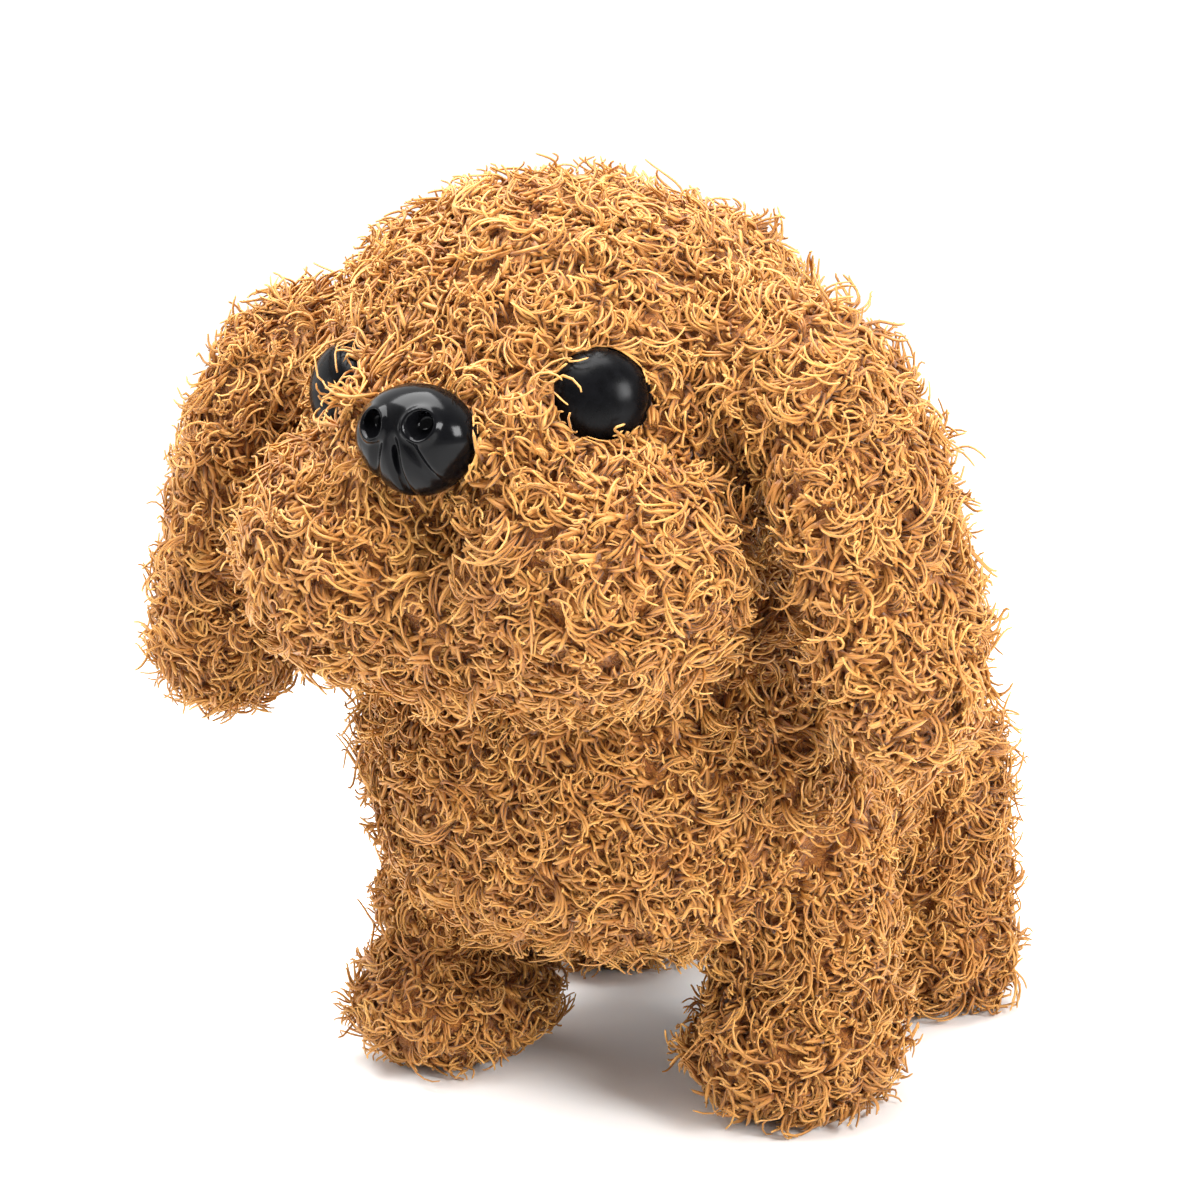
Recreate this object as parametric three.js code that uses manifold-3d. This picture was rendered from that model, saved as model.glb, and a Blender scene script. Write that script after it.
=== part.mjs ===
// A battery-driven plush puppy that walks, barks, twitches its nose and wags its tail.
// A plastic case in the belly holds the cells, the motor and the gears; two cranks swing the
// four legs by side links, and the curly plush skins fit over the case, the legs and the head.
// Millimetres. The dog faces -Y, its left side is +X and it stands on Z = 0.
import * as THREE from "three";
import { mergeVertices } from "three/addons/utils/BufferGeometryUtils.js";
import Module from "manifold-3d";

const wasm = await Module();
wasm.setup();

// Driving dimensions.
const GAP = 0.35; // between pieces that touch
const RUN = 0.9; // round pieces that move
const WALL = 1.8; // moulded walls

const BODY = { centre: [0, 6, 62], radii: [46, 60, 37], power: 3.2 };
const CHEST = { centre: [0, -18, 62], radii: [50, 36, 38] };
const NECK = { centre: [0, -22, 88], radii: [43, 36, 24] };
const SKULL = { centre: [0, -30, 126], radii: [47, 42, 44] };
const CROWN = { centre: [12, -24, 134], radii: [35, 36, 32] };
const BRIDGE = { centre: [0, -55, 128], radii: [19, 22, 19] };
const MUZZLE = { centre: [9.5, -65, 126], radii: [12.5, 13.5, 14] };
const CHIN = { centre: [0, -52, 98], radii: [36, 26, 22] };
const CHEEK = { centre: [21, -56, 105], radii: [28, 27, 26] };
const EAR_ROOT = { centre: [44, -34, 134], radii: [16, 22, 20], tilt: -30 };
const EAR_LOBE = { centre: [61, -36, 110], radii: [15, 24, 42], tilt: -15 };
const EAR_TIP = { centre: [69, -38, 90], radii: [17, 22, 24], tilt: -8 };

const CASE = { x: 26, front: -38, back: 53, floor: 42, split: 56, top: 80, chamfer: 6 };
const TUB = { x: 15.5, front: -27, back: 47, floor: 31 };
const BAY = { x: 11.8, front: -9.4, back: 39, floor: 33.2, top: 45.4 };
const CELL = { r: 5.25, length: 44.5, x: 5.7, y: -7.4, z: 39.4 };
const DOOR = { x: 12.4, front: -9.4, back: 44.6, hinge: [-8.6, 31.9] };
const SWITCH = { y: -19, travel: 4 };

const HINGE_Z = 50; // the legs' pivots
const LEG_X = 35.6;
const SWING = 12; // degrees each way
const LEGS = [
  { name: "front", y: -12, thigh: [19, 20, 34], paw: [22, 23.5, 15.5], reach: -6 },
  { name: "rear", y: 46, thigh: [18.5, 18.5, 35], paw: [20.5, 20.5, 15.5], reach: -2 },
];
const LEVER = { in: 33.6, out: 36, width: 9, foot: 5 };
const LINK = { in: 31.2, out: 33, z: 64, height: 8 };
const CRANK = { y: 23.2, z: 64, throw: 2.9, disc: 7, in: 26.6, out: 28.8 };

const TOOTH = 0.8; // gear module
const WHEEL = 28; // teeth
const PINION = 8;
const STEP = (TOOTH * (WHEEL + PINION)) / 2; // between gear axes
const MOTOR = { y: CRANK.y - 3 * STEP, r: 10, flat: 7.6, left: 13, right: -12 };

const HEAD_FRAME = { x: 18.5, front: -54, back: -10, floor: 104, top: 148, split: -32 };
const POST = { y: -26, r: 11.5 };
const NOSE = { centre: [0, -77.5, 128.5], pivot: [-46, 120], arm: 12, twitch: 6 };
const EYE = { centre: [24.6, -60.2, 133.6], look: [0.5, -0.84, 0.2], r: 8, depth: 5.4 };
const TAIL = { y: 57, z: 67, wag: 22 };

const COLOUR = {
  plush: "#c68a4c",
  ear: "#bd7f42",
  casing: "#26262a",
  pale: "#e6e1d3",
  black: "#0b0b0d",
  steel: "#b8bcc2",
  brass: "#c9a44a",
  board: "#2f6b3c",
  cell: "#3c6fae",
};

// ---- Solids ----

// A closed three.js geometry as a solid.
function solid(geometry) {
  const bare = geometry.index ? geometry.toNonIndexed() : geometry.clone();
  for (const key of Object.keys(bare.attributes)) {
    if (key !== "position") bare.deleteAttribute(key);
  }
  const merged = mergeVertices(bare, 1e-4);
  const index = merged.index.array;
  const faces = [];
  for (let i = 0; i < index.length; i += 3) {
    const [a, b, c] = [index[i], index[i + 1], index[i + 2]];
    if (a !== b && b !== c && c !== a) faces.push(a, b, c);
  }
  return new wasm.Manifold(
    new wasm.Mesh({
      numProp: 3,
      vertProperties: merged.attributes.position.array,
      triVerts: new Uint32Array(faces),
    }),
  );
}

function join(...solids) {
  return solids.reduce((whole, next) => whole.add(next));
}

function cut(whole, ...tools) {
  return tools.reduce((left, tool) => left.subtract(tool), whole);
}

function box(x0, x1, y0, y1, z0, z1) {
  const geometry = new THREE.BoxGeometry(x1 - x0, y1 - y0, z1 - z0);
  return solid(geometry.translate((x0 + x1) / 2, (y0 + y1) / 2, (z0 + z1) / 2));
}

// A rod or disc along X from x0 to x1.
function rodX(r, x0, x1, y, z, sides = 14) {
  const geometry = new THREE.CylinderGeometry(r, r, x1 - x0, sides);
  return solid(geometry.rotateZ(-Math.PI / 2).translate((x0 + x1) / 2, y, z));
}

function rodY(r, y0, y1, x, z, sides = 20) {
  const geometry = new THREE.CylinderGeometry(r, r, y1 - y0, sides);
  return solid(geometry.translate(x, (y0 + y1) / 2, z));
}

function rodZ(r, z0, z1, x, y, sides = 20) {
  const geometry = new THREE.CylinderGeometry(r, r, z1 - z0, sides);
  return solid(geometry.rotateX(Math.PI / 2).translate(x, y, (z0 + z1) / 2));
}

// A round rod from one point to another.
function rod(from, to, r, sides = 12) {
  const a = new THREE.Vector3(...from);
  const b = new THREE.Vector3(...to);
  const geometry = new THREE.CylinderGeometry(r, r, a.distanceTo(b), sides);
  const turn = new THREE.Quaternion().setFromUnitVectors(
    new THREE.Vector3(0, 1, 0),
    b.clone().sub(a).normalize(),
  );
  geometry.applyQuaternion(turn);
  const middle = a.add(b).multiplyScalar(0.5);
  return solid(geometry.translate(middle.x, middle.y, middle.z));
}

// An ellipsoid, tilted about Y in degrees and grown by `grow` all round.
function lump({ centre, radii, tilt = 0 }, grow = 0, side = 1, sides = 12) {
  const geometry = new THREE.SphereGeometry(1, sides, Math.round(sides * 0.6));
  geometry.rotateX(Math.PI / 2);
  geometry.scale(...radii.map((r) => r + grow));
  geometry.rotateY(THREE.MathUtils.degToRad(tilt * side));
  return solid(geometry.translate(centre[0] * side, centre[1], centre[2]));
}

// A round-cornered loaf: a superellipsoid.
function loaf({ centre, radii, power }) {
  const geometry = new THREE.SphereGeometry(1, 20, 12).rotateX(Math.PI / 2);
  const place = geometry.attributes.position;
  for (let i = 0; i < place.count; i++) {
    const p = [place.getX(i), place.getY(i), place.getZ(i)];
    const sum = p.reduce((s, v, k) => s + Math.abs(v / radii[k]) ** power, 0);
    const scale = sum ** (-1 / power);
    place.setXYZ(i, ...p.map((v, k) => v * scale + centre[k]));
  }
  return solid(geometry);
}

// The same solid turned about an axis through a point; degrees.
function turned(whole, axis, point, degrees) {
  const mesh = whole.getMesh();
  const geometry = new THREE.BufferGeometry();
  geometry.setAttribute("position", new THREE.BufferAttribute(mesh.vertProperties, 3));
  geometry.setIndex(new THREE.BufferAttribute(mesh.triVerts, 1));
  geometry.translate(...point.map((v) => -v));
  const turn = new THREE.Matrix4().makeRotationAxis(axis, THREE.MathUtils.degToRad(degrees));
  geometry.applyMatrix4(turn).translate(...point);
  return solid(geometry);
}

// The space a solid passes through as it swings each way.
function swept(whole, axis, point, degrees, steps = 2) {
  const copies = [];
  for (let i = -steps; i <= steps; i++) {
    copies.push(turned(whole, axis, point, (degrees * i) / steps));
  }
  return join(...copies);
}

const ALONG_X = new THREE.Vector3(1, 0, 0);
const ALONG_Z = new THREE.Vector3(0, 0, 1);

// ---- The toy ----

const toy = new THREE.Group();

function add(name, whole, color, roughness = 0.5, metalness = 0) {
  const made = whole.getMesh();
  const geometry = new THREE.BufferGeometry();
  geometry.setAttribute("position", new THREE.BufferAttribute(made.vertProperties, 3));
  geometry.setIndex(new THREE.BufferAttribute(made.triVerts, 1));
  geometry.computeVertexNormals();
  const material = new THREE.MeshStandardMaterial({ color, roughness, metalness });
  const mesh = new THREE.Mesh(geometry, material);
  mesh.name = name;
  toy.add(mesh);
  return mesh;
}

// Outer shape of the head: skull, full crown, snout with two whisker pads, chin and two cheeks.
function headShape(grow = 0) {
  return join(
    lump(SKULL, grow, 1, 18),
    lump(CROWN, grow),
    lump(CROWN, grow, -1),
    lump(BRIDGE, grow),
    lump(MUZZLE, grow),
    lump(MUZZLE, grow, -1),
    lump(CHIN, grow),
    lump(CHEEK, grow),
    lump(CHEEK, grow, -1),
  );
}

function earShape(side) {
  return join(
    lump(EAR_ROOT, 0, side, 10),
    lump(EAR_LOBE, 0, side, 14),
    lump(EAR_TIP, 0, side),
  );
}

// One leg's plush above the paw, flat at the case's side.
function thighShape(leg, side, grow = 0) {
  const x = LEG_X * side;
  const inner = [0, side * (CASE.x + 1.5 - grow)].sort((a, b) => a - b);
  return cut(
    join(
      lump({ centre: [x, leg.y, 48], radii: [18, 18, 18] }, grow, 1, 10),
      lump({ centre: [x, leg.y, 27], radii: leg.thigh }, grow, 1, 10),
    ),
    box(...inner, leg.y - 40, leg.y + 40, 25 + grow, 90),
  );
}

// The whole leg's plush, flat at the sole.
function legShape(leg, side) {
  const x = LEG_X * side;
  const paw = { centre: [x, leg.y + leg.reach, 11.5], radii: leg.paw };
  return cut(
    join(thighShape(leg, side), lump(paw)),
    box(x - 40, x + 40, leg.y - 60, leg.y + 60, -40, 0),
  );
}

// The plastic lever in a leg: a bar on the hinge, a link pin at its top and a foot plate.
function legLever(leg, side, grow = 0) {
  const [inner, outer] = [LEVER.in * side, LEVER.out * side].sort((a, b) => a - b);
  const half = LEVER.width / 2 + grow;
  const pin = [LEVER.in * side, (LINK.in - GAP) * side].sort((a, b) => a - b);
  const bar = join(
    box(inner - grow, outer + grow, leg.y - half, leg.y + half, 7, LINK.z + grow),
    rodX(half, inner - grow, outer + grow, leg.y, LINK.z),
    rodX(7 + grow, inner - grow, outer + grow, leg.y, HINGE_Z),
    rodX(1.6 + grow, pin[0], pin[1] + 0.2 * side, leg.y, LINK.z, 12),
    box(
      LEG_X * side - 9 - grow,
      LEG_X * side + 9 + grow,
      leg.y + leg.reach / 2 - 11 - grow,
      leg.y + leg.reach / 2 + 11 + grow,
      LEVER.foot - grow,
      LEVER.foot + 2.4 + grow,
    ),
  );
  return grow ? bar : cut(bar, rodX(3.4, inner - 1, outer + 1, leg.y, HINGE_Z));
}

// A gear's outline: straight-sided teeth, the first one centred on +u, turned by `phase` pitches.
function gearShape(teeth, bore, phase = 0) {
  const pitch = (TOOTH * teeth) / 2;
  const step = (2 * Math.PI) / teeth;
  const points = [];
  for (let i = 0; i < teeth; i++) {
    const middle = (i + phase) * step;
    const flanks = [
      [pitch - 0.8, -0.27],
      [pitch + 0.5, -0.13],
      [pitch + 0.5, 0.13],
      [pitch - 0.8, 0.27],
    ];
    for (const [r, part] of flanks) {
      const angle = middle + part * step;
      points.push(new THREE.Vector2(r * Math.cos(angle), r * Math.sin(angle)));
    }
  }
  const shape = new THREE.Shape(points);
  shape.holes.push(new THREE.Path().absarc(0, 0, bore, 0, 2 * Math.PI, true));
  return shape;
}

function gear(teeth, bore, x0, x1, y, phase = 0) {
  const geometry = new THREE.ExtrudeGeometry(gearShape(teeth, bore, phase), {
    depth: x1 - x0,
    bevelEnabled: false,
    curveSegments: 6,
  });
  geometry.applyMatrix4(
    new THREE.Matrix4().set(0, 0, 1, x0, 1, 0, 0, y, 0, 1, 0, CRANK.z, 0, 0, 0, 1),
  );
  return solid(geometry);
}

// The belly case: upper and lower halves, with the hinge studs, the tail lugs and the tub.
function caseUpper() {
  const section = (x, z0, z1, c) =>
    new THREE.Shape(
      [[-x, z0], [x, z0], [x, z1 - c], [x - c, z1], [c - x, z1], [-x, z1 - c]].map(
        ([u, v]) => new THREE.Vector2(u, v),
      ),
    );
  const along = (shape, y0, y1) => {
    const geometry = new THREE.ExtrudeGeometry(shape, { depth: y1 - y0, bevelEnabled: false });
    geometry.applyMatrix4(
      new THREE.Matrix4().set(1, 0, 0, 0, 0, 0, -1, y1, 0, 1, 0, 0, 0, 0, 0, 1),
    );
    return solid(geometry);
  };
  const { x, front, back, split, top, chamfer } = CASE;
  const outside = along(section(x, split + GAP, top, chamfer), front, back);
  const inside = along(
    section(x - WALL, split - 1, top - WALL, chamfer - 0.7),
    front + WALL,
    back - WALL,
  );
  const lugs = join(
    box(-4, 4, back - 1, back + 7, TAIL.z - 8, TAIL.z - 5.6),
    box(-4, 4, back - 1, back + 7, TAIL.z + 5.6, TAIL.z + 8),
  );
  const sound = [];
  for (const [u, v] of [[0, 0], [5, 0], [-5, 0], [0, 5], [0, -5], [4, 4], [-4, 4], [4, -4], [-4, -4]]) {
    sound.push(rodY(0.9, front - 1, front + WALL + 0.1, u, 67.5 + v, 8));
  }
  return cut(
    join(cut(outside, inside), lugs),
    rodX(1.9, -x - 1, x + 1, CRANK.y, CRANK.z),
    rodZ(1.5, TAIL.z - 9, TAIL.z + 9, 0, TAIL.y, 12),
    box(-4, 4, back - 3, back + 0.01, TAIL.z - 2.2, TAIL.z + 2.2),
    rodZ(2, top - 3, top + 1, 0, NOSE.pivot[0] + NOSE.arm, 12),
    ...sound,
  );
}

function caseLower() {
  const { x, front, back, floor, split } = CASE;
  const outside = join(
    box(-x, x, front + 2, back - 1, floor, split),
    box(-TUB.x, TUB.x, TUB.front, TUB.back, TUB.floor, floor + 1),
  );
  const inside = join(
    box(WALL - x, x - WALL, front + 2 + WALL, back - 1 - WALL, floor + WALL, split + 1),
    box(
      WALL - TUB.x,
      TUB.x - WALL,
      TUB.front + WALL,
      TUB.back - WALL,
      TUB.floor + WALL,
      floor + WALL + 1,
    ),
  );
  const studs = [];
  const pilots = [];
  for (const leg of LEGS) {
    for (const side of [-1, 1]) {
      const [a, b] = [side * (x - 1), side * (LEVER.out + 0.6)].sort((p, q) => p - q);
      studs.push(rodX(3, a, b, leg.y, HINGE_Z, 16));
      pilots.push(rodX(1.4, a - 2, b + 2, leg.y, HINGE_Z, 10));
    }
  }
  return cut(
    join(cut(outside, inside), ...studs),
    ...pilots,
    box(-12.8, 12.8, DOOR.front - 0.8, DOOR.back + 0.4, TUB.floor - 1, TUB.floor + WALL + 0.1),
    box(-4.6, 4.6, SWITCH.y - 2, SWITCH.y + 2, TUB.floor - 1, TUB.floor + WALL + 0.1),
  );
}

add("case_upper", caseUpper(), COLOUR.casing);
add("case_lower", caseLower(), COLOUR.casing);

// Battery bay: an open-bottomed tray, two cells, a sprung and a plain contact, door and screw.
add(
  "battery_tray",
  cut(
    box(-BAY.x - 1.4, BAY.x + 1.4, BAY.front - 1.4, BAY.back + 1.4, BAY.floor, BAY.top + 1.4),
    box(-BAY.x, BAY.x, BAY.front, BAY.back, BAY.floor - 1, BAY.top),
  ),
  COLOUR.casing,
);
for (const [name, side] of [["left", 1], ["right", -1]]) {
  const end = side > 0 ? CELL.y + CELL.length : CELL.y;
  const tip = side > 0 ? [end - 0.1, end + 0.9] : [end - 0.9, end + 0.1];
  const body = rodY(CELL.r, CELL.y, CELL.y + CELL.length, CELL.x * side, CELL.z, 24);
  add(`cell_${name}`, body.add(rodY(1.9, ...tip, CELL.x * side, CELL.z, 12)), COLOUR.cell, 0.3, 0.2);
}

function coilSpring(x, y0, y1) {
  class Helix extends THREE.Curve {
    getPoint(t, target = new THREE.Vector3()) {
      const angle = 1.75 * 2 * Math.PI * t;
      const r = 3.2 - 1.2 * t;
      return target.set(x + r * Math.cos(angle), y0 + (y1 - y0) * t, CELL.z + r * Math.sin(angle));
    }
  }
  const wire = new THREE.Shape().absarc(0, 0, 0.25, 0, 2 * Math.PI, false);
  return solid(
    new THREE.ExtrudeGeometry(wire, { extrudePath: new Helix(), steps: 18, curveSegments: 2 }),
  );
}
add("contact_spring_left", coilSpring(CELL.x, CELL.y - 1.2, CELL.y - 0.6), COLOUR.steel, 0.3, 1);
const farEnd = CELL.y + CELL.length;
add("contact_spring_right", coilSpring(-CELL.x, farEnd + 1.2, farEnd + 0.6), COLOUR.steel, 0.3, 1);
add("contact_plate_front", box(-10, 10, BAY.front + 0.1, BAY.front + 0.4, 35, 44), COLOUR.steel, 0.3, 1);
add("contact_plate_back", box(-10, 10, BAY.back - 0.4, BAY.back - 0.1, 35, 44), COLOUR.steel, 0.3, 1);

const doorRibs = [6, 14, 22, 30].map((y) => box(-9, 9, y, y + 1, TUB.floor - 0.6, TUB.floor + 0.1));
add(
  "battery_door",
  cut(
    join(box(-DOOR.x, DOOR.x, DOOR.front, DOOR.back, TUB.floor, TUB.floor + WALL), ...doorRibs),
    rodZ(1.4, TUB.floor - 1, TUB.floor + WALL + 1, 0, DOOR.back - 2.6, 12),
  ),
  COLOUR.casing,
);
add(
  "door_screw",
  cut(
    join(
      rodZ(2.3, TUB.floor - 1.5, TUB.floor - GAP, 0, DOOR.back - 2.6, 16),
      rodZ(1, TUB.floor - 1, TUB.floor + WALL + 0.6, 0, DOOR.back - 2.6, 12),
    ),
    box(-1.6, 1.6, DOOR.back - 2.85, DOOR.back - 2.35, TUB.floor - 2, TUB.floor - 0.9),
    box(-0.25, 0.25, DOOR.back - 4.2, DOOR.back - 1, TUB.floor - 2, TUB.floor - 0.9),
  ),
  COLOUR.steel,
  0.3,
  1,
);
add(
  "switch_knob",
  join(
    box(-SWITCH.travel, 0, SWITCH.y - 1.5, SWITCH.y + 1.5, TUB.floor - 1.4, TUB.floor + WALL + 0.4),
    box(-SWITCH.travel - 0.4, 0.4, SWITCH.y - 1.6, SWITCH.y + 1.6, TUB.floor - 2, TUB.floor - 1.2),
  ),
  COLOUR.pale,
);
add("switch_body", box(-6, 6, SWITCH.y - 3, SWITCH.y + 3, TUB.floor + 2.6, 39), COLOUR.steel, 0.4, 1);

// Sound: circuit board with its potted chip and capacitor, and a small speaker behind the chest.
const BOARD_FACE = -18.8;
add(
  "circuit_board",
  join(
    box(BOARD_FACE - 1.6, BOARD_FACE, -24, 18, 58.5, 76),
    lump({ centre: [BOARD_FACE, -4, 68], radii: [2.6, 6, 6] }, 0, 1, 12),
    rodX(2.5, BOARD_FACE - 0.5, BOARD_FACE + 6, 10, 70, 14),
  ),
  COLOUR.board,
);
add(
  "speaker",
  cut(
    join(rodY(10, -35.8, -33.6, 0, 67.5, 24), rodY(7, -33.7, -31, 0, 67.5, 20)),
    rodY(8.6, -36, -34.4, 0, 67.5, 24),
  ),
  COLOUR.steel,
  0.4,
  1,
);
const conePoints = [[0, 0], [8.2, 1.1], [8.2, 1.4], [0, 0.4]].map(([u, v]) => new THREE.Vector2(u, v));
const cone = new THREE.LatheGeometry(conePoints, 20).rotateX(Math.PI).translate(0, -34.7, 67.5);
add("speaker_cone", solid(cone), COLOUR.black, 0.6);

// Drive: motor, its pinion, two compound gears, the crankshaft with its wheel and two cranks.
add(
  "motor",
  cut(
    join(
      rodX(MOTOR.r, MOTOR.right, MOTOR.left, MOTOR.y, CRANK.z, 24).intersect(
        box(-20, 20, MOTOR.y - 20, MOTOR.y + 20, CRANK.z - MOTOR.flat, CRANK.z + MOTOR.flat),
      ),
      rodX(3, MOTOR.left - 1, MOTOR.left + 1.4, MOTOR.y, CRANK.z, 14),
    ),
    rodX(1.35, MOTOR.left - 4, MOTOR.left + 3, MOTOR.y, CRANK.z, 10),
  ),
  COLOUR.steel,
  0.3,
  1,
);
const axis1 = MOTOR.y + STEP;
const axis2 = MOTOR.y + 2 * STEP;
add(
  "motor_pinion",
  gear(PINION, 0.8, 15.5, 19, MOTOR.y).add(rodX(0.9, MOTOR.left - 3, 19, MOTOR.y, CRANK.z, 10)),
  COLOUR.brass,
  0.4,
  1,
);
add(
  "first_gear",
  join(gear(WHEEL, 1.3, 16, 18.4, axis1, 0.5), gear(PINION, 1.3, 12.7, 16.1, axis1)),
  COLOUR.pale,
);
add(
  "second_gear",
  join(gear(WHEEL, 1.3, 13, 15.2, axis2, 0.5), gear(PINION, 1.3, 9.4, 13.1, axis2)),
  COLOUR.pale,
);
add("crank_gear", gear(WHEEL, 1.85, 9.8, 12.2, CRANK.y, 0.5), COLOUR.pale);
add("first_gear_pin", rodX(1, 6.7, 22.2, axis1, CRANK.z, 12), COLOUR.steel, 0.3, 1);
add("second_gear_pin", rodX(1, 6.7, 22.2, axis2, CRANK.z, 12), COLOUR.steel, 0.3, 1);
add("crankshaft", rodX(1.5, 0.4 - CRANK.out, CRANK.out - 0.4, CRANK.y, CRANK.z, 16), COLOUR.steel, 0.3, 1);

function gearboxPlate(x0, x1, y0, y1) {
  return cut(
    box(x0, x1, y0, y1, 52, 74),
    rodX(1.35, x0 - 1, x1 + 1, axis1, CRANK.z, 12),
    rodX(1.35, x0 - 1, x1 + 1, axis2, CRANK.z, 12),
    rodX(1.9, x0 - 1, x1 + 1, CRANK.y, CRANK.z, 16),
  );
}
add("gearbox_plate_left", gearboxPlate(20.6, 22.4, -28, 30), COLOUR.pale);
add("gearbox_plate_right", gearboxPlate(6.5, 8.3, -8.4, 30), COLOUR.pale);

for (const [name, side] of [["left", 1], ["right", -1]]) {
  const [a, b] = [CRANK.in * side, CRANK.out * side].sort((p, q) => p - q);
  const pin = [CRANK.out * side - 0.1 * side, (LINK.in - 0.4) * side].sort((p, q) => p - q);
  add(
    `crank_${name}`,
    cut(
      join(
        rodX(CRANK.disc, a, b, CRANK.y, CRANK.z, 18),
        rodX(1.5, ...pin, CRANK.y, CRANK.z + CRANK.throw * side, 12),
      ),
      rodX(1.85, side > 0 ? a - 1 : b - 1.8, side > 0 ? a + 1.9 : b + 1, CRANK.y, CRANK.z, 16),
    ),
    COLOUR.pale,
  );
  const [c, d] = [LINK.in * side, LINK.out * side].sort((p, q) => p - q);
  const [front, rear] = [LEGS[0].y, LEGS[1].y];
  add(
    `side_link_${name}`,
    cut(
      join(
        box(c, d, front, rear, LINK.z - LINK.height / 2, LINK.z + LINK.height / 2),
        rodX(LINK.height / 2, c, d, front, LINK.z),
        rodX(LINK.height / 2, c, d, rear, LINK.z),
        box(c, d, CRANK.y - 4.5, CRANK.y + 4.5, LINK.z - 7, LINK.z + 7),
      ),
      rodX(2, c - 1, d + 1, front, LINK.z, 12),
      rodX(2, c - 1, d + 1, rear, LINK.z, 12),
      box(c - 1, d + 1, CRANK.y - 1.8, CRANK.y + 1.8, LINK.z - 5, LINK.z + 5),
    ),
    COLOUR.pale,
  );
}

// Legs: a lever, a hinge screw and a plush sleeve each.
function legScrew(leg, side) {
  const head = [(LEVER.out + 0.95) * side, (LEVER.out + 2.4) * side].sort((p, q) => p - q);
  const shank = [(LEVER.out - 5) * side, (LEVER.out + 1.2) * side].sort((p, q) => p - q);
  return join(rodX(4.2, ...head, leg.y, HINGE_Z, 16), rodX(1.05, ...shank, leg.y, HINGE_Z, 10));
}

const legSweeps = [];
for (const leg of LEGS) {
  for (const [name, side] of [["left", 1], ["right", -1]]) {
    const key = `${leg.name}_${name}`;
    const pocket = [side * 20, side * (LEVER.out + 2.8)].sort((p, q) => p - q);
    const upper = [side * 20, side * (LEVER.out + 0.4)].sort((p, q) => p - q);
    add(`leg_lever_${key}`, legLever(leg, side), COLOUR.pale);
    add(`leg_screw_${key}`, legScrew(leg, side), COLOUR.steel, 0.3, 1);
    add(
      `leg_plush_${key}`,
      cut(
        legShape(leg, side),
        legLever(leg, side, GAP),
        rodX(5, ...pocket, leg.y, HINGE_Z, 16),
        box(...upper, leg.y - 30, leg.y + 30, HINGE_Z - 7, 90),
      ),
      COLOUR.plush,
      1,
    );
    legSweeps.push(
      swept(thighShape(leg, side, 2 * RUN), ALONG_X, [0, leg.y, HINGE_Z], SWING, 1),
    );
  }
}

// Tail: lever on its pin in the case's lugs, and the plush tail on the lever's rod.
const TAIL_ROD = [[0, TAIL.y + 2, TAIL.z + 1], [0, TAIL.y + 15, TAIL.z + 17]];
const TAIL_LUMPS = [
  { centre: [0, 67.2, 79.5], radii: [7.5, 7, 8] },
  { centre: [0, 71.2, 87], radii: [8.8, 8.5, 9.5] },
  { centre: [0, 75.2, 95], radii: [9.6, 9.2, 9.4] },
];
const tailPlush = (grow = 0) => join(...TAIL_LUMPS.map((part) => lump(part, grow, 1, 10)));
add("tail_pin", rodZ(1.1, TAIL.z - 8, TAIL.z + 8, 0, TAIL.y, 12), COLOUR.steel, 0.3, 1);
add(
  "tail_lever",
  cut(
    join(
      rodZ(3.2, TAIL.z - 5.2, TAIL.z + 5.2, 0, TAIL.y, 16),
      box(-1.5, 1.5, 37, TAIL.y, TAIL.z - 1.2, TAIL.z + 1.2),
      rod(...TAIL_ROD, 1.7),
    ),
    rodZ(1.45, TAIL.z - 9, TAIL.z + 9, 0, TAIL.y, 12),
  ),
  COLOUR.pale,
);
const tailBore = rod([0, TAIL.y - 2, TAIL.z - 4], [0, TAIL.y + 15.4, TAIL.z + 17.6], 2.1);
add("tail_plush", cut(tailPlush(), tailBore), COLOUR.plush, 1);

// Head: neck post, two frame halves, nose on its lever and pull rod, eyes with their washers.
add(
  "neck_post",
  cut(
    rodZ(POST.r, CASE.top + GAP, HEAD_FRAME.floor - GAP, 0, POST.y),
    rodZ(POST.r - 1.6, CASE.top - 1, HEAD_FRAME.floor + 1, 0, POST.y),
  ),
  COLOUR.pale,
);

function frameShell(y0, y1, open) {
  const { x, floor, top } = HEAD_FRAME;
  const inner = open > 0 ? [y0 + 1.6, y1 + 1] : [y0 - 1, y1 - 1.6];
  return cut(box(-x, x, y0, y1, floor, top), box(1.6 - x, x - 1.6, ...inner, floor + 1.6, top - 1.6));
}
const [pivotY, pivotZ] = NOSE.pivot;
const rodHoleY = pivotY + NOSE.arm;
const noseSlot = box(-5, 5, -60, -51, 114, 133);
const rodHole = box(-4, 4, rodHoleY - 3, HEAD_FRAME.split + 3, HEAD_FRAME.floor - 1, HEAD_FRAME.floor + 3);
const pinLug = (x0, x1) => box(x0, x1, HEAD_FRAME.front + 1, pivotY + 3, pivotZ - 4, pivotZ + 4);
add(
  "head_frame_front",
  cut(
    join(
      cut(frameShell(HEAD_FRAME.front, HEAD_FRAME.split - GAP / 2, 1), noseSlot),
      pinLug(5.4, 7.4),
      pinLug(-7.4, -5.4),
    ),
    rodX(1.35, -9, 9, pivotY, pivotZ, 12),
    rodHole,
  ),
  COLOUR.pale,
);
add(
  "head_frame_back",
  cut(frameShell(HEAD_FRAME.split + GAP / 2, HEAD_FRAME.back, -1), rodHole),
  COLOUR.pale,
);

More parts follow.
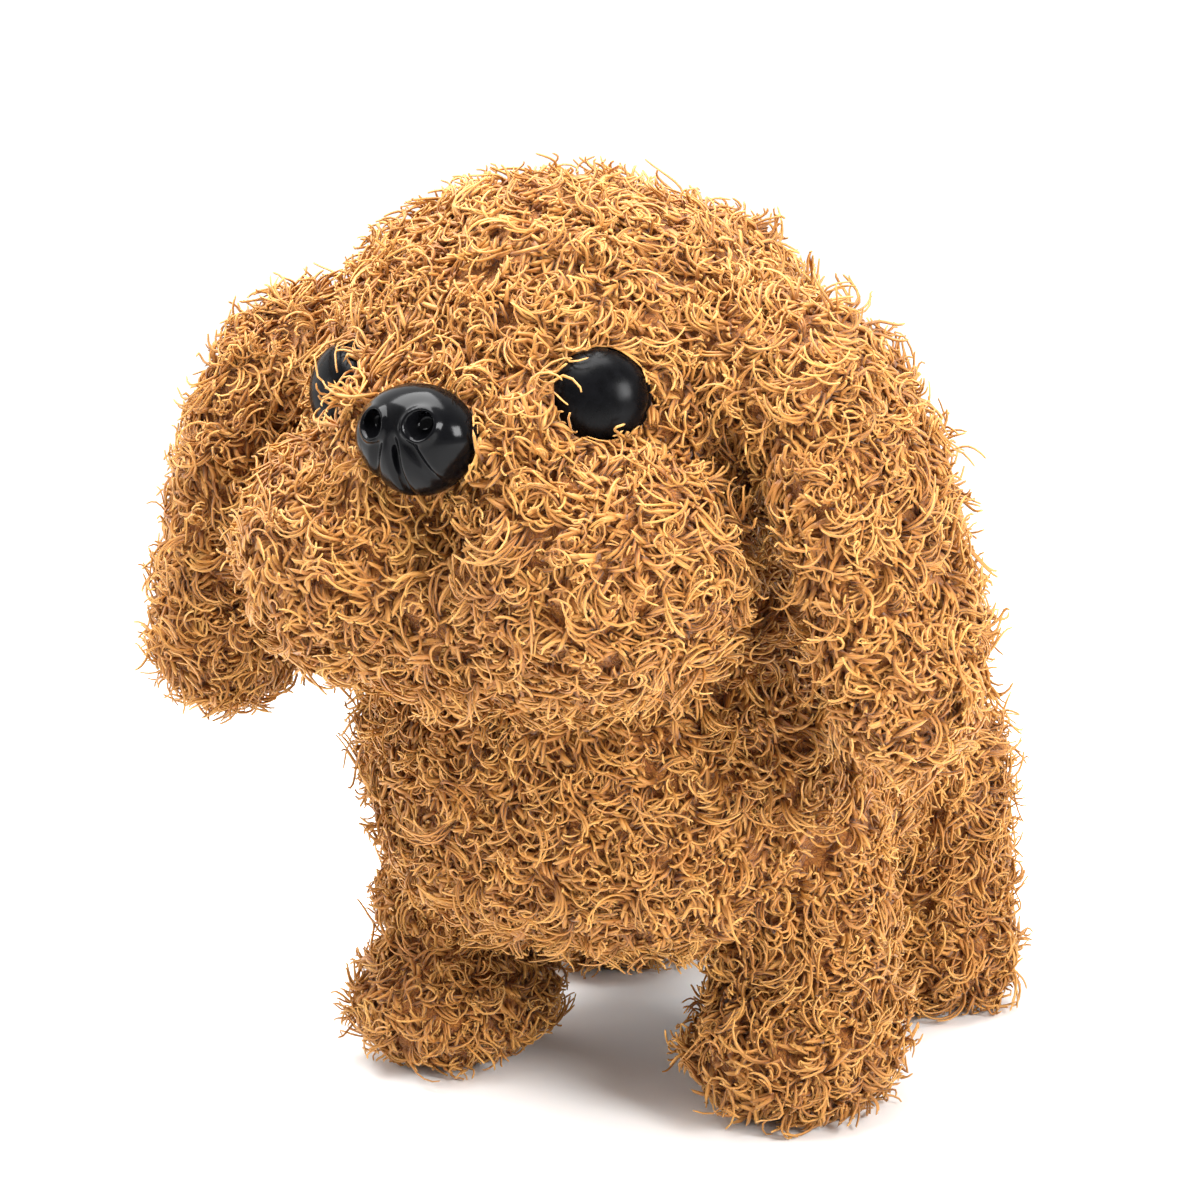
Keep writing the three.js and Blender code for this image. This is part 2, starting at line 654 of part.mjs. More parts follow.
const [, noseY, noseZ] = NOSE.centre;
add("nose_pin", rodX(1, -7.6, 7.6, pivotY, pivotZ, 12), COLOUR.steel, 0.3, 1);
const noseLever = join(
  rodX(3, -4.8, 4.8, pivotY, pivotZ, 16),
  rod([0, pivotY, pivotZ], [0, noseY + 9, noseZ - 1.8], 2.4),
  rodY(4, noseY + 5, noseY + 10, 0, noseZ, 16),
  box(1.9, 3.6, pivotY, rodHoleY + 1.4, pivotZ - 2.8, pivotZ + 2.8),
  box(-3.6, -1.9, pivotY, rodHoleY + 1.4, pivotZ - 2.8, pivotZ + 2.8),
);
add(
  "nose_lever",
  cut(
    noseLever,
    rodX(1.35, -6, 6, pivotY, pivotZ, 12),
    box(-5, 5, rodHoleY - 2.4, rodHoleY + 3, pivotZ - 1.4, pivotZ + 1.4),
    rodY(2.05, noseY, noseY + 9, 0, noseZ, 12),
  ),
  COLOUR.pale,
);
add(
  "nose_pull_rod",
  join(rodZ(1.2, CASE.top - 0.7, pivotZ, 0, rodHoleY, 12), rodX(1, -3.6, 3.6, rodHoleY, pivotZ, 10)),
  COLOUR.steel,
  0.3,
  1,
);

// The moulded nose: an egg, wider on top, with two nostrils and a cleft.
function noseButton(grow = 0) {
  const egg = join(
    lump({ centre: [0, noseY, noseZ + 1.4], radii: [11, 6.6, 7.8] }, grow, 1, 14),
    lump({ centre: [0, noseY, noseZ - 2.6], radii: [8, 6, 7.8] }, grow, 1, 14),
  );
  return egg.intersect(box(-20, 20, noseY - 20, noseY + 4.4 + grow, noseZ - 20, noseZ + 20));
}
add(
  "nose",
  cut(
    join(noseButton(), rodY(1.7, noseY + 3, noseY + 8.6, 0, noseZ, 12)),
    lump({ centre: [4.4, noseY - 6.2, noseZ + 3], radii: [1.7, 1.8, 1.4] }, 0, 1, 8),
    lump({ centre: [-4.4, noseY - 6.2, noseZ + 3], radii: [1.7, 1.8, 1.4] }, 0, 1, 8),
    box(-0.4, 0.4, noseY - 8, noseY - 5, noseZ - 9, noseZ + 1),
  ),
  COLOUR.black,
  0.15,
);

// An eye's pieces stand on its look direction; `far` is measured outwards from its centre.
function eyePart(profile, side, sides = 12) {
  const points = profile.map(([r, far]) => new THREE.Vector2(r, far));
  const geometry = new THREE.LatheGeometry(points, sides);
  const look = new THREE.Vector3(EYE.look[0] * side, EYE.look[1], EYE.look[2]).normalize();
  const turn = new THREE.Quaternion().setFromUnitVectors(new THREE.Vector3(0, 1, 0), look);
  geometry.applyQuaternion(turn);
  return solid(geometry.translate(EYE.centre[0] * side, EYE.centre[1], EYE.centre[2]));
}
const eyeDome = (grow = 0) => {
  const profile = [[0, -1 - grow], [EYE.r + grow, -1 - grow]];
  for (let i = 0; i <= 4; i++) {
    const angle = (i / 4) * (Math.PI / 2);
    profile.push([(EYE.r + grow) * Math.cos(angle), (EYE.depth + grow) * Math.sin(angle)]);
  }
  profile[profile.length - 1][0] = 0;
  return profile;
};
const stemProfile = (grow = 0) => [[0, -8 - grow], [1.5 + grow, -8 - grow], [1.5 + grow, 0], [0, 0]];
const washerProfile = (grow = 0) => [
  [0, -6.4 - grow],
  [5.5 + grow, -6.4 - grow],
  [5.5 + grow, -5 + grow],
  [0, -5 + grow],
];
const eyeCuts = [];
for (const [name, side] of [["left", 1], ["right", -1]]) {
  const dome = join(eyePart(eyeDome(), side, 16), eyePart(stemProfile(), side, 12));
  add(`eye_${name}`, dome, COLOUR.black, 0.08);
  add(
    `eye_washer_${name}`,
    cut(eyePart(washerProfile(), side), eyePart(stemProfile(GAP), side, 12)),
    COLOUR.pale,
  );
  eyeCuts.push(
    eyePart(eyeDome(GAP), side, 16),
    eyePart(stemProfile(GAP), side, 12),
    eyePart(washerProfile(GAP), side),
  );
}

const frameRoom = box(
  -HEAD_FRAME.x - GAP,
  HEAD_FRAME.x + GAP,
  HEAD_FRAME.front - GAP,
  HEAD_FRAME.back + GAP,
  HEAD_FRAME.floor - 1,
  HEAD_FRAME.top + GAP,
);
const postRoom = rodZ(POST.r + GAP, 60, HEAD_FRAME.floor + 1, 0, POST.y, 24);
add(
  "head_plush",
  cut(
    headShape(),
    frameRoom,
    postRoom,
    swept(noseButton(RUN), ALONG_X, [0, pivotY, pivotZ], NOSE.twitch, 1),
    box(-5.5, 5.5, -90, -53, 113, 136),
    ...eyeCuts,
  ),
  COLOUR.plush,
  1,
);

for (const [name, side] of [["left", 1], ["right", -1]]) {
  add(`ear_plush_${name}`, cut(earShape(side), headShape(RUN)), COLOUR.ear, 1);
}

// The body skin: a stuffed shell with room for the case, the links, the legs and the tail.
const sideRoom = (side) => {
  const [a, b] = [side * 20, side * 39].sort((p, q) => p - q);
  return box(a, b, -22, 55, 44, 72);
};
const caseTop = CASE.top + GAP;
const tailBar = rod([0, TAIL.y, TAIL.z - 1], [0, TAIL.y + 15, TAIL.z + 17.4], 3);
add(
  "body_plush",
  cut(
    join(loaf(BODY), lump(CHEST, 0, 1, 18), lump(NECK, 0, 1, 14)),
    headShape(0.5),
    box(-CASE.x - 0.6, CASE.x + 0.6, CASE.front - 0.6, CASE.back + 0.6, CASE.floor - 0.6, caseTop),
    box(-TUB.x - 0.6, TUB.x + 0.6, TUB.front - 0.6, TUB.back + 0.6, 10, CASE.floor + 1),
    sideRoom(1),
    sideRoom(-1),
    postRoom,
    box(-6, 6, CASE.back - 1, TAIL.y + 5, TAIL.z - 9, TAIL.z + 9),
    swept(tailBar, ALONG_Z, [0, TAIL.y, 0], TAIL.wag, 1),
    swept(tailPlush(2 * RUN), ALONG_Z, [0, TAIL.y, 0], TAIL.wag, 1),
    ...legSweeps,
  ),
  COLOUR.plush,
  1,
);

export default toy;
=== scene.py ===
import bpy
import math
import numpy as np
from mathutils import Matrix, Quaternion, Vector, noise


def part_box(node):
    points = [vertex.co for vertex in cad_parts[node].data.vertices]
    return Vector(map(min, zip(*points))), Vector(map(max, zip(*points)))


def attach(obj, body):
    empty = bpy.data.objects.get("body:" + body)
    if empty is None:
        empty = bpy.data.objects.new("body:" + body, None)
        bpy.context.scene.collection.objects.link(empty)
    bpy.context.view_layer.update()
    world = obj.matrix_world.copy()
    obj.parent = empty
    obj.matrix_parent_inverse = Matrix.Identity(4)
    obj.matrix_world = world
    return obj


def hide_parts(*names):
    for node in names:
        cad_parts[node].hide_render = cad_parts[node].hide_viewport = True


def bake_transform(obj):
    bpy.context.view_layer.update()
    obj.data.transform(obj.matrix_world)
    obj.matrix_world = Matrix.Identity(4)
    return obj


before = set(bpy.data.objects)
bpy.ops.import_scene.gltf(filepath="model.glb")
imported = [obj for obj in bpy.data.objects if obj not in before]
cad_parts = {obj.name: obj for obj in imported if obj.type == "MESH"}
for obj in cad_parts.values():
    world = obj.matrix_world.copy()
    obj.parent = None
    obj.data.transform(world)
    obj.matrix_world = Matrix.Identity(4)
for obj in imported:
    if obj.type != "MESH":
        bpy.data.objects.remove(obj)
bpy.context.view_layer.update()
MM = 0.001

# ---- Studio ----
# The toy stands on a plain pale floor in a white room. A wide softbox hangs over its head, a
# smaller one stands off its left cheek and a weak one fills from its right.
AZIMUTH = math.radians(29.3)  # from straight ahead towards the toy's left
ELEVATION = math.radians(11.3)
ROLL = math.radians(2.3)  # the camera leans a little to the toy's left
DISTANCE = 560 * MM
AIM = Vector((-8.5, -3.9, 87.2)) * MM

outward = Vector(
    (
        math.sin(AZIMUTH) * math.cos(ELEVATION),
        -math.cos(AZIMUTH) * math.cos(ELEVATION),
        math.sin(ELEVATION),
    )
)
lens = bpy.data.cameras.new("camera")
lens.lens, lens.sensor_width = 90.7, 36
lens.clip_start, lens.clip_end = 0.01, 20
camera = bpy.data.objects.new("camera", lens)
bpy.context.scene.collection.objects.link(camera)
camera.location = AIM + outward * DISTANCE
camera.rotation_euler = (outward.to_track_quat("Z", "Y") @ Quaternion((0, 0, 1), -ROLL)).to_euler()
bpy.context.scene.camera = camera


def softbox(name, place, size, power, target=(0, -20, 90)):
    """A square studio light that faces the toy; place, size and target in mm."""
    light = bpy.data.lights.new(name, "AREA")
    light.shape, light.size, light.energy = "SQUARE", size * MM, power
    lamp = bpy.data.objects.new(name, light)
    bpy.context.scene.collection.objects.link(lamp)
    lamp.location = Vector(place) * MM
    facing = Vector(place) - Vector(target)
    lamp.rotation_euler = facing.to_track_quat("Z", "Y").to_euler()


softbox("softbox_over", (-70, -110, 580), 420, 8.0)
softbox("softbox_left", (540, -190, 300), 200, 4.2)
softbox("softbox_right", (-560, -380, 240), 160, 0.4)


def add_node(tree, kind, inputs=(), **settings):
    """Adds a node, makes its settings, and sets or links its inputs."""
    made = tree.nodes.new(kind)
    for key, value in settings.items():
        setattr(made, key, value)
    for key, value in dict(inputs).items():
        if isinstance(value, bpy.types.NodeSocket):
            tree.links.new(value, made.inputs[key])
        else:
            made.inputs[key].default_value = value
    return made


# The room is a lit white sweep behind the toy, and is dimmer on the side that the toy faces.
world = bpy.data.worlds.new("white_room")
world.use_nodes = True
room = world.node_tree
front = Vector((outward.x, outward.y, 0)).normalized()
away = add_node(room, "ShaderNodeTexCoord").outputs["Generated"]
facing = add_node(room, "ShaderNodeVectorMath", {0: away, 1: front}, operation="DOT_PRODUCT")
SWEEP = {"From Min": -0.3, "From Max": 0.5, "To Min": 1.7, "To Max": 0.36}
bright = add_node(room, "ShaderNodeMapRange", {"Value": facing.outputs["Value"], **SWEEP})
room.links.new(bright.outputs["Result"], room.nodes["Background"].inputs["Strength"])
room.nodes["Background"].inputs["Color"].default_value = (1, 1, 1, 1)
bpy.context.scene.world = world
bpy.context.scene.view_settings.view_transform = "Standard"


def linear(code):
    """An sRGB hex colour as linear red, green, blue and alpha."""
    parts = [int(code[i : i + 2], 16) / 255 for i in (1, 3, 5)]
    return [c / 12.92 if c <= 0.04045 else ((c + 0.055) / 1.055) ** 2.4 for c in parts] + [1]


def new_material(name, **sockets):
    """A material with its node tree and its shader, whose plain sockets are set by name."""
    material = bpy.data.materials.new(name)
    material.use_nodes = True
    tree = material.node_tree
    shader = tree.nodes["Principled BSDF"]
    for key, value in sockets.items():
        shader.inputs[key.replace("_", " ")].default_value = value
    return material, tree, shader


def add_ramp(tree, factor, stops, **settings):
    """A colour ramp; stops are (place, sRGB hex)."""
    ramp = add_node(tree, "ShaderNodeValToRGB", {"Fac": factor})
    for key, value in settings.items():
        setattr(ramp.color_ramp, key, value)
    marks = ramp.color_ramp.elements
    while len(marks) < len(stops):
        marks.new(1)
    for mark, (place, code) in zip(marks, stops):
        mark.position, mark.color = place, linear(code)
    return ramp.outputs["Color"]


# Paper backdrop: matt, with no pattern but a faint mottle of its fibres, about 6 mm across.
paper, tree, shader = new_material("matt_backdrop_paper", Roughness=0.9)
place = add_node(tree, "ShaderNodeTexCoord").outputs["Object"]
mottle = add_node(tree, "ShaderNodeTexNoise", {"Vector": place, "Scale": 1 / (6 * MM)})
tint = add_ramp(tree, mottle.outputs["Fac"], [(0.3, "#fafafa"), (0.7, "#fcfcfb")])
tree.links.new(tint, shader.inputs["Base Color"])
bpy.ops.object.select_all(action="DESELECT")
bpy.ops.mesh.primitive_plane_add(size=30)
floor = bpy.context.object
floor.name = "floor"
floor.data.materials.append(paper)


# ---- Belly case ----
# Two halves, a tray and a door of injection-moulded black ABS, screwed together. The mould is
# spark-eroded, so the plastic is satin, with a grain of about 0.5 mm.
def moulded_plastic(name, codes, grain, roughness, depth):
    """Moulded plastic: its tint drifts a little and a fine grain breaks its gloss."""
    material, tree, shader = new_material(name, IOR=1.5)
    place = add_node(tree, "ShaderNodeTexCoord").outputs["Object"]
    drift = add_node(
        tree, "ShaderNodeTexNoise", {"Vector": place, "Scale": 1 / (9 * MM), "Detail": 4}
    )
    tint = add_ramp(tree, drift.outputs["Fac"], [(0.3, codes[0]), (0.7, codes[1])])
    tree.links.new(tint, shader.inputs["Base Color"])
    fine = add_node(tree, "ShaderNodeTexNoise", {"Vector": place, "Scale": 1 / (grain * MM)})
    gloss = add_node(
        tree,
        "ShaderNodeMapRange",
        {"Value": fine.outputs["Fac"], "To Min": roughness - 0.06, "To Max": roughness + 0.08},
    )
    tree.links.new(gloss.outputs["Result"], shader.inputs["Roughness"])
    bump = add_node(
        tree,
        "ShaderNodeBump",
        {"Height": fine.outputs["Fac"], "Distance": depth * MM, "Strength": 0.6},
    )
    tree.links.new(bump.outputs["Normal"], shader.inputs["Normal"])
    return material


def dress(material, *names):
    """Puts a material on CAD nodes."""
    for name in names:
        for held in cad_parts[name].material_slots:
            held.material = material


black_abs = moulded_plastic("spark_eroded_black_abs", ("#1d1d20", "#27272b"), 0.5, 0.42, 0.03)
dress(black_abs, "case_upper", "case_lower", "battery_tray", "battery_door")

# ---- Gears, levers, links and frames ----
# Natural acetal, moulded and left uncoloured: a cool ivory that is smooth and a little waxy.
# The head frame, the neck post, the gearbox and everything that the gearbox drives are this.
acetal = moulded_plastic("natural_moulded_acetal", ("#d9d4c6", "#e6e2d6"), 0.8, 0.32, 0.01)
LEGS = [(end, side) for end in ("front", "rear") for side in ("left", "right")]
dress(acetal, "neck_post", "head_frame_front", "head_frame_back", "nose_lever", "tail_lever")
dress(acetal, "gearbox_plate_left", "gearbox_plate_right", "first_gear", "second_gear")
dress(acetal, "crank_gear", "crank_left", "crank_right", "side_link_left", "side_link_right")
dress(acetal, "eye_washer_left", "eye_washer_right", "switch_knob")
dress(acetal, *[f"leg_lever_{end}_{side}" for end, side in LEGS])

# ---- Pins, screws, contacts and the motor ----
# Steel wire and sheet with bright nickel plating, drawn along its length, so it has faint
# lines about 0.15 mm apart and a soft reflection.
steel, tree, shader = new_material("nickel_plated_steel", Metallic=1)
place = add_node(tree, "ShaderNodeTexCoord").outputs["Object"]
drawn = add_node(
    tree, "ShaderNodeMapping", {"Vector": place, "Scale": (1, 12, 12)}, vector_type="POINT"
)
lines = add_node(
    tree, "ShaderNodeTexNoise", {"Vector": drawn.outputs["Vector"], "Scale": 1 / (1.8 * MM)}
)
tint = add_ramp(tree, lines.outputs["Fac"], [(0.3, "#a9acb0"), (0.7, "#cfd1d4")])
gloss = add_node(
    tree,
    "ShaderNodeMapRange",
    {"Value": lines.outputs["Fac"], "To Min": 0.2, "To Max": 0.38},
)
tree.links.new(tint, shader.inputs["Base Color"])
tree.links.new(gloss.outputs["Result"], shader.inputs["Roughness"])
dress(steel, "crankshaft", "first_gear_pin", "second_gear_pin", "tail_pin", "nose_pin")
dress(steel, "nose_pull_rod", "motor", "speaker", "switch_body", "door_screw")
dress(steel, "contact_spring_left", "contact_spring_right")
dress(steel, "contact_plate_front", "contact_plate_back")
dress(steel, *[f"leg_screw_{end}_{side}" for end, side in LEGS])

# ---- Motor pinion ----
# Turned brass: warm yellow metal, with the fine rings that the lathe's tool leaves.
brass, tree, shader = new_material("turned_brass", Metallic=1, Roughness=0.28)
place = add_node(tree, "ShaderNodeTexCoord").outputs["Object"]
rings = add_node(
    tree, "ShaderNodeTexWave", {"Vector": place, "Scale": 1 / (2 * MM), "Distortion": 0.6}
)
tint = add_ramp(tree, rings.outputs["Fac"], [(0.2, "#b98f3c"), (0.8, "#d9b764")])
tree.links.new(tint, shader.inputs["Base Color"])
dress(brass, "motor_pinion")

# ---- Circuit board ----
# Glass-epoxy laminate under green solder mask. The copper tracks below the mask show as
# lighter lanes about 1.5 mm apart.
board, tree, shader = new_material("green_solder_mask", Roughness=0.35, IOR=1.5)
place = add_node(tree, "ShaderNodeTexCoord").outputs["Object"]
lanes = add_node(
    tree,
    "ShaderNodeTexBrick",
    {"Vector": place, "Scale": 1 / (6 * MM), "Mortar Size": 0.06},
)
lanes.inputs["Color1"].default_value = linear("#1f5a34")
lanes.inputs["Color2"].default_value = linear("#256a3d")
lanes.inputs["Mortar"].default_value = linear("#4d9a5c")
tree.links.new(lanes.outputs["Color"], shader.inputs["Base Color"])
dress(board, "circuit_board")

# ---- Cells ----
# Steel cans in a shrunk plastic sleeve: glossy blue with a pale band at the positive end.
sleeve, tree, shader = new_material("printed_shrink_sleeve", Roughness=0.25, Metallic=0.3)
place = add_node(tree, "ShaderNodeTexCoord").outputs["Object"]
along = add_node(tree, "ShaderNodeSeparateXYZ", {"Vector": place})
low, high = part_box("cell_left")
share = add_node(
    tree,
    "ShaderNodeMapRange",
    {"Value": along.outputs["Y"], "From Min": low.y, "From Max": high.y},
)
SLEEVE = [(0, "#c9ccd0"), (0.06, "#2b5c9e"), (0.74, "#d8dbe0"), (0.95, "#c9ccd0")]
bands = add_ramp(tree, share.outputs["Result"], SLEEVE, interpolation="CONSTANT")
tree.links.new(bands, shader.inputs["Base Color"])
dress(sleeve, "cell_left", "cell_right")

# ---- Speaker cone ----
# Pressed paper pulp, doped black: matt, with fibres about 0.6 mm long.
pulp, tree, shader = new_material("doped_paper_pulp", Roughness=0.85)
place = add_node(tree, "ShaderNodeTexCoord").outputs["Object"]
fibres = add_node(
    tree, "ShaderNodeTexNoise", {"Vector": place, "Scale": 1 / (0.6 * MM), "Detail": 6}
)
tint = add_ramp(tree, fibres.outputs["Fac"], [(0.35, "#1b1917"), (0.7, "#37332e")])
tree.links.new(tint, shader.inputs["Base Color"])
dress(pulp, "speaker_cone")


# ---- Body skin ----
# A sewn bag of knitted polyester, stuffed round the belly case. It is cut open under the
# belly for the battery door, and the curly pile that is rooted in it comes further down.
PILE = 4.2  # mm from the skin to the middle of the pile's surface, which is the CAD surface
BODY_PILE = 3  # mm, less than elsewhere, because levers and links lie close under this skin
VOXEL = 3.6  # mm, the grain of a large skin's mesh
LUMP_WIDTH, LUMP_HEIGHT = 4.5, 1.6  # mm, of the stuffing's lumps

# Knitted backing with its short fuzz: matt and sheeny, orange-brown in drifts 5 mm wide, with
# fibres 0.5 mm thick that lie every way. Its browns are kept darker than the yarn's, which
# paints the shade that falls deep in the pile between the tufts.
backing, tree, shader = new_material(
    "knitted_tan_backing", Roughness=0.9, Sheen_Weight=0.1, Sheen_Roughness=0.5
)
place = add_node(tree, "ShaderNodeTexCoord").outputs["Object"]
cloud = add_node(
    tree, "ShaderNodeTexNoise", {"Vector": place, "Scale": 1 / (5 * MM), "Detail": 3}
)
fibres = add_node(
    tree,
    "ShaderNodeTexNoise",
    {"Vector": place, "Scale": 1 / (1.6 * MM), "Detail": 3, "Distortion": 3.5},
)
# Painted shade: these browns are darker than the yarn, so the backing between the tufts shows as
# painted shadow.
drift = add_ramp(tree, cloud.outputs["Fac"], [(0.3, "#7a3f10"), (0.7, "#9c5a1c")])
strand_tint = add_ramp(tree, fibres.outputs["Fac"], [(0.36, "#6b3208"), (0.62, "#c08032")])
tint = add_node(tree, "ShaderNodeMix", {"Factor": 0.55}, data_type="RGBA")
tree.links.new(drift, tint.inputs[6])
tree.links.new(strand_tint, tint.inputs[7])
tree.links.new(tint.outputs[2], shader.inputs["Base Color"])
bump = add_node(
    tree, "ShaderNodeBump", {"Height": fibres.outputs["Fac"], "Distance": 0.9 * MM}
)
tree.links.new(bump.outputs["Normal"], shader.inputs["Normal"])


def lump(centre, radii, tilt=0, power=2):
    """One stuffed lump, in mm; tilt is in degrees about Y, and a power over 2 squares it."""
    return {"centre": centre, "radii": radii, "tilt": tilt, "power": power}


def mirrored(part):
    """The same lump on the toy's other side."""
    x, y, z = part["centre"]
    return {**part, "centre": (-x, y, z), "tilt": -part["tilt"]}


def into(part, points):
    """Points in metres, in the lump's own axes, in mm."""
    a = math.radians(part["tilt"])
    turn = np.array([[math.cos(a), 0, math.sin(a)], [0, 1, 0], [-math.sin(a), 0, math.cos(a)]])
    return (points / MM - np.array(part["centre"])) @ turn, turn


def reach(part, points, grow=0):
    """How far out points lie in a lump: under 1 inside it, when it is grown by `grow` mm."""
    own, turn = into(part, points)
    share = np.abs(own) / (np.array(part["radii"]) + grow)
    return (share ** part["power"]).sum(-1) ** (1 / part["power"])


def inside(parts, points, grow=0):
    """Which points lie in any of the lumps."""
    return np.any([reach(part, points, grow) < 1 for part in parts], axis=0)


def apply_all(piece):
    bpy.ops.object.select_all(action="DESELECT")
    piece.select_set(True)
    bpy.context.view_layer.objects.active = piece
    for modifier in list(piece.modifiers):
        bpy.ops.object.modifier_apply(modifier=modifier.name)


def sew(name, parts, inset=PILE, voxel=VOXEL):
    """Lumps run together into one skin, inset from their outer surface."""
    bpy.ops.object.select_all(action="DESELECT")
    made = []
    for part in parts:
        bpy.ops.mesh.primitive_uv_sphere_add(segments=40, ring_count=24, radius=1)
        ball = bpy.context.object
        a = math.radians(part["tilt"])
        for vertex in ball.data.vertices:
            grown = sum(abs(v) ** part["power"] for v in vertex.co) ** (-1 / part["power"])
            x, y, z = (v * grown * (r - inset) for v, r in zip(vertex.co, part["radii"]))
            turned = (x * math.cos(a) + z * math.sin(a), y, z * math.cos(a) - x * math.sin(a))
            vertex.co = (Vector(turned) + Vector(part["centre"])) * MM
        made.append(ball)
    for ball in made:
        ball.select_set(True)
    bpy.context.view_layer.objects.active = made[0]
    bpy.ops.object.join()
    skin = bpy.context.object
    skin.name = name
    skin.modifiers.new("one skin", "REMESH").voxel_size = voxel * MM
    even = skin.modifiers.new("even", "SMOOTH")
    even.factor, even.iterations = 0.5, 4
    apply_all(skin)
    return skin


PRESSURE, CLOTH_STEPS = 4, 20  # the pressure of the cloth solver, and its frames


def stuff(skin, sewn=(), cap=1.6):
    """Stuffs a skin: cloth under pressure, held at its sewn places, each (point, radius) in mm.
    No point moves further than cap mm. The stuffing is fibre, so it ends a little lumpy."""
    rest = np.array([v.co for v in skin.data.vertices])
    held = skin.vertex_groups.new(name="sewn")
    for point, radius in sewn:
        near = np.linalg.norm(rest / MM - np.array(point), axis=1) < radius
        held.add([int(i) for i in np.flatnonzero(near)], 1, "REPLACE")
    cloth = skin.modifiers.new("stuffing", "CLOTH")
    cloth.settings.use_pressure = True
    cloth.settings.uniform_pressure_force = PRESSURE
    cloth.settings.vertex_group_mass = "sewn"
    cloth.settings.effector_weights.gravity = 0
    for step in range(1, CLOTH_STEPS + 1):
        bpy.context.scene.frame_set(step)
    full = skin.evaluated_get(bpy.context.evaluated_depsgraph_get())
    moved = np.array([v.co for v in full.data.vertices]) - rest
    skin.modifiers.remove(cloth)
    bpy.context.scene.frame_set(1)
    far = np.linalg.norm(moved, axis=1, keepdims=True)
    moved *= np.minimum(1, cap * MM / np.maximum(far, 1e-9))
    skin.data.vertices.foreach_set("co", (rest + moved).astype(np.float32).ravel())
    finer = skin.modifiers.new("finer", "SUBSURF")
    finer.levels = finer.render_levels = 1
    apply_all(skin)
    for vertex in skin.data.vertices:
        rise = noise.noise(vertex.co / (LUMP_WIDTH * MM)) * LUMP_HEIGHT * MM
        vertex.co += vertex.normal * rise
    bpy.ops.object.shade_smooth()
    skin.data.materials.clear()
    skin.data.materials.append(backing)
    return skin


BODY = [
    lump((0, 6, 62), (46, 60, 37), power=3.2),
    lump((0, -18, 62), (50, 36, 38)),
    lump((0, -22, 88), (43, 36, 24)),
]
OPENING = ((-16.2, -27.7, 15), (16.2, 47.7, 50))  # the belly's cut, low and high corners
body_skin = sew("body_skin", BODY, inset=BODY_PILE)
bpy.ops.mesh.primitive_cube_add(size=1)
cutter = bpy.context.object
for vertex in cutter.data.vertices:
    vertex.co = [(h if v > 0 else l) * MM for v, l, h in zip(vertex.co, *OPENING)]
stuff(body_skin, [((0, -30, 100), 30)])
belly_cut = body_skin.modifiers.new("belly cut", "BOOLEAN")
belly_cut.operation, belly_cut.object, belly_cut.solver = "DIFFERENCE", cutter, "EXACT"
apply_all(body_skin)
bpy.data.objects.remove(cutter)
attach(body_skin, "chassis")
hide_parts("body_plush")

# ---- Head skin ----
# The head is sewn from a crown, a snout, a chin and two puffed cheeks, drawn in by the washers
# behind the eyes and by the nose's stem, and stuffed round the plastic head frame.
CHEEK = lump((21, -56, 105), (28, 27, 26))
MUZZLE = lump((12.5, -67, 126), (12.5, 13, 13.5))
CROWN = lump((12, -24, 134), (35, 36, 32))
HEAD = [
    lump((0, -30, 126), (47, 42, 44)),
    lump((0, -55, 128), (19, 22, 19)),
    CROWN,
    mirrored(CROWN),
    MUZZLE,
    mirrored(MUZZLE),
    lump((0, -52, 98), (36, 26, 22)),
    CHEEK,
    mirrored(CHEEK),
]
EYE = (24.6, -60.2, 133.6)  # the left eye's middle, where its dome meets the skin
EYE_LOOK = Vector((0.5, -0.84, 0.2)).normalized()
NOSE = (0, -77.5, 128.5)
head_skin = sew("head_skin", HEAD)
stuff(head_skin, [((s * EYE[0], *EYE[1:]), 9) for s in (1, -1)] + [(NOSE, 12)])
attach(head_skin, "chassis")
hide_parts("head_plush")

# ---- Ears ----
# Each ear is a long flat bag, lightly stuffed, sewn to the head along its top edge, and it
# hangs to the chin.
EAR = [
    lump((43, -34, 134), (15, 21, 19), -30),
    lump((61, -36, 110), (15, 24, 42), -15),
    lump((66.5, -38, 90), (16, 21, 24), -8),
]
EAR_TOP, EAR_FREE = (40, -36, 150), (54, -36, 126)  # mm, where the flop begins and is whole
ears = {}
for side, sign in (("left", 1), ("right", -1)):
    parts = EAR if sign == 1 else [mirrored(part) for part in EAR]
    skin = stuff(sew(f"ear_skin_{side}", parts), [((sign * 40, -36, 146), 10)])
    start, end = (
        Vector((sign * p[0], p[1], p[2])) * MM for p in (EAR_TOP, EAR_FREE)
    )
    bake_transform(skin)
    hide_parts(f"ear_plush_{side}")
    ears[side] = (skin, parts, start, end)

# ---- Legs ----
# Four stuffed sleeves over the plastic levers, each with a round paw and a flat sole.
LEG_X = 35.6
LEG_SHAPES = {
    "front": {"y": -12, "thigh": (19, 20, 34), "paw": (22, 23.5, 15.5), "reach": -6},
    "rear": {"y": 46, "thigh": (18.5, 18.5, 35), "paw": (20.5, 20.5, 15.5), "reach": -2},
}
SOLE = 0.8  # mm of cloth and pressed pile under the sole
HIP_TOP, HIP_END = 62, 40  # mm up, where the swing begins and is whole
LEG_VOXEL = 3.2
legs = {}
for end_name, side in LEGS:
    shape = LEG_SHAPES[end_name]
    x, y = (LEG_X if side == "left" else -LEG_X), shape["y"]
    parts = [
        lump((x, y, 48), (18, 18, 18)),
        lump((x, y, 27), shape["thigh"]),
        lump((x, y + shape["reach"], 11.5), shape["paw"]),
    ]
    skin = stuff(sew(f"leg_skin_{end_name}_{side}", parts, voxel=LEG_VOXEL))
    for vertex in skin.data.vertices:
        vertex.co.z = max(vertex.co.z, SOLE * MM)
    start, end = Vector((x, y, HIP_TOP)) * MM, Vector((x, y, HIP_END)) * MM
    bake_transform(skin)
    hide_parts(f"leg_plush_{end_name}_{side}")
    legs[end_name, side] = (skin, parts, start, end)

